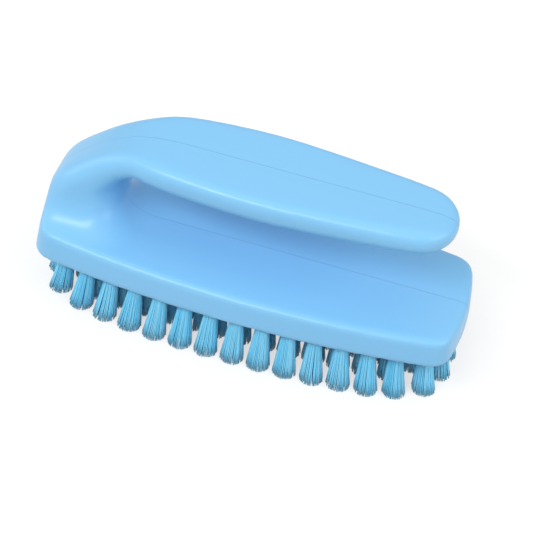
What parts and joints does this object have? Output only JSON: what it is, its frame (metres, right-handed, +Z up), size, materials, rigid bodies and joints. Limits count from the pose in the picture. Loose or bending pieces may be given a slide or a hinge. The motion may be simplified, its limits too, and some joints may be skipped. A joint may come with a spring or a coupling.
{
  "type": "nail brush",
  "caption": "One-piece moulded nail brush with an arched finger handle open at one end, over a bowed block carrying rows of stapled bristle tufts trimmed flat",
  "frame": {"origin": "centre of the bounding box in plan, on the plane of the cut bristle tips that the brush rests on", "axes": "+X along the block to the handle's free end, +Y across the block away from the user, +Z up out of the back of the handle"},
  "size_m": [0.1214, 0.0482, 0.0528],
  "materials": {
    "moulded_plastic": "satin-gloss light blue polypropylene with a fine mould parting line",
    "bristle": "light blue polyester filament, cut flat",
    "staple_wire": "plain flat stainless wire"
  },
  "bodies": {
    "root": {"block_and_handle": "moulded_plastic", "tuft_line_01": "bristle", "tuft_line_02": "bristle", "tuft_line_03": "bristle", "tuft_line_04": "bristle", "tuft_line_05": "bristle", "tuft_line_06": "bristle", "tuft_line_07": "bristle", "tuft_line_08": "bristle", "tuft_line_09": "bristle", "tuft_line_10": "bristle", "tuft_line_11": "bristle", "tuft_line_12": "bristle", "tuft_line_13": "bristle", "tuft_line_14": "bristle", "tuft_line_15": "bristle", "staple_line_01": "staple_wire", "staple_line_02": "staple_wire", "staple_line_03": "staple_wire", "staple_line_04": "staple_wire", "staple_line_05": "staple_wire", "staple_line_06": "staple_wire", "staple_line_07": "staple_wire", "staple_line_08": "staple_wire", "staple_line_09": "staple_wire", "staple_line_10": "staple_wire", "staple_line_11": "staple_wire", "staple_line_12": "staple_wire", "staple_line_13": "staple_wire", "staple_line_14": "staple_wire", "staple_line_15": "staple_wire"}
  },
  "joints": []
}
